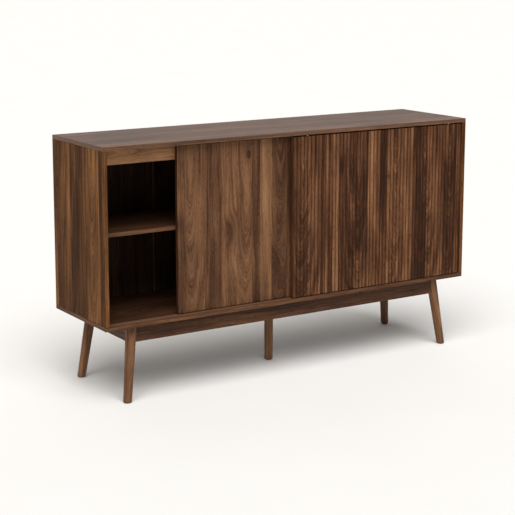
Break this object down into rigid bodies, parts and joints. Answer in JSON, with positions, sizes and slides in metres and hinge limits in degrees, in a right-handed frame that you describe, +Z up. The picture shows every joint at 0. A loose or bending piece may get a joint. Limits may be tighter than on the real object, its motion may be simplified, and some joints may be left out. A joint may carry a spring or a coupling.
{
  "type": "sideboard",
  "caption": "Long walnut-look sideboard on splayed round legs, with a plain and a fluted sliding door that pass each other, and shelves behind them.",
  "frame": {"origin": "on the floor, under the middle of the body", "axes": "+X along the width to the right as seen from the front, +Y towards the back, +Z up"},
  "size_m": [1.6, 0.4, 0.91],
  "materials": {
    "walnut_laminate": "walnut-grain foil on particle board, satin",
    "walnut_fluted": "walnut-grain foil wrapped over a fluted fibreboard core, satin",
    "walnut_solid": "walnut-stained solid wood, satin lacquer",
    "rubberwood": "unstained sawn wood",
    "back_board": "walnut-print hardboard, low sheen",
    "track_plastic": "brown extruded plastic",
    "roller_plastic": "black moulded nylon",
    "guide_plastic": "white moulded nylon",
    "zinc_steel": "bright zinc plate",
    "glide_plastic": "dark brown moulded plastic"
  },
  "bodies": {
    "carcass": {"back_base_rail": "walnut_solid", "back_left_corner_block": "rubberwood", "back_left_glide": "glide_plastic", "back_left_leg": "walnut_solid", "back_left_leg_bolt": "zinc_steel", "back_right_corner_block": "rubberwood", "back_right_glide": "glide_plastic", "back_right_leg": "walnut_solid", "back_right_leg_bolt": "zinc_steel", "bottom_panel": "walnut_laminate", "centre_divider": "walnut_laminate", "centre_glide": "glide_plastic", "centre_leg": "walnut_solid", "centre_leg_bolt": "zinc_steel", "centre_stretcher": "walnut_solid", "front_base_rail": "walnut_solid", "front_left_corner_block": "rubberwood", "front_left_glide": "glide_plastic", "front_left_leg": "walnut_solid", "front_left_leg_bolt": "zinc_steel", "front_right_corner_block": "rubberwood", "front_right_glide": "glide_plastic", "front_right_leg": "walnut_solid", "front_right_leg_bolt": "zinc_steel", "left_back_panel": "back_board", "left_base_rail": "walnut_solid", "left_shelf": "walnut_laminate", "left_shelf_pin_back_inner": "zinc_steel", "left_shelf_pin_back_outer": "zinc_steel", "left_shelf_pin_front_inner": "zinc_steel", "left_shelf_pin_front_outer": "zinc_steel", "left_side_panel": "walnut_laminate", "left_top_rail": "walnut_laminate", "lower_track": "track_plastic", "right_back_panel": "back_board", "right_base_rail": "walnut_solid", "right_shelf": "walnut_laminate", "right_shelf_pin_back_inner": "zinc_steel", "right_shelf_pin_back_outer": "zinc_steel", "right_shelf_pin_front_inner": "zinc_steel", "right_shelf_pin_front_outer": "zinc_steel", "right_side_panel": "walnut_laminate", "right_top_rail": "walnut_laminate", "top_panel": "walnut_laminate", "upper_track": "track_plastic"},
    "flat_door": {"flat_door_panel": "walnut_laminate", "flat_door_left_roller_housing": "roller_plastic", "flat_door_left_guide": "guide_plastic", "flat_door_right_roller_housing": "roller_plastic", "flat_door_right_guide": "guide_plastic"},
    "fluted_door": {"fluted_door_panel": "walnut_fluted", "fluted_door_left_roller_housing": "roller_plastic", "fluted_door_left_guide": "guide_plastic", "fluted_door_right_roller_housing": "roller_plastic", "fluted_door_right_guide": "guide_plastic"},
    "flat_door_left_roller": {"flat_door_left_wheel": "roller_plastic"},
    "flat_door_right_roller": {"flat_door_right_wheel": "roller_plastic"},
    "fluted_door_left_roller": {"fluted_door_left_wheel": "roller_plastic"},
    "fluted_door_right_roller": {"fluted_door_right_wheel": "roller_plastic"}
  },
  "joints": [
    {"name": "flat_door_slide", "type": "slide", "parent": "carcass", "child": "flat_door", "axis": [1, 0, 0], "range_m": [-0.283, 0.478]},
    {"name": "fluted_door_slide", "type": "slide", "parent": "carcass", "child": "fluted_door", "axis": [1, 0, 0], "range_m": [-0.761, 0]},
    {"name": "flat_door_left_roller_spin", "type": "hinge", "parent": "flat_door", "child": "flat_door_left_roller", "pos_m": [-0.435, -0.1675, 0.292], "axis": [0, 1, 0], "continuous": true},
    {"name": "flat_door_right_roller_spin", "type": "hinge", "parent": "flat_door", "child": "flat_door_right_roller", "pos_m": [0.24, -0.1675, 0.292], "axis": [0, 1, 0], "continuous": true},
    {"name": "fluted_door_left_roller_spin", "type": "hinge", "parent": "fluted_door", "child": "fluted_door_left_roller", "pos_m": [0.043, -0.187, 0.292], "axis": [0, 1, 0], "continuous": true},
    {"name": "fluted_door_right_roller_spin", "type": "hinge", "parent": "fluted_door", "child": "fluted_door_right_roller", "pos_m": [0.718, -0.187, 0.292], "axis": [0, 1, 0], "continuous": true}
  ],
  "couplings": [
    {"joint": "flat_door_left_roller_spin", "follows": "flat_door_slide", "rad_per_m": 100},
    {"joint": "flat_door_right_roller_spin", "follows": "flat_door_slide", "rad_per_m": 100},
    {"joint": "fluted_door_left_roller_spin", "follows": "fluted_door_slide", "rad_per_m": 100},
    {"joint": "fluted_door_right_roller_spin", "follows": "fluted_door_slide", "rad_per_m": 100}
  ]
}
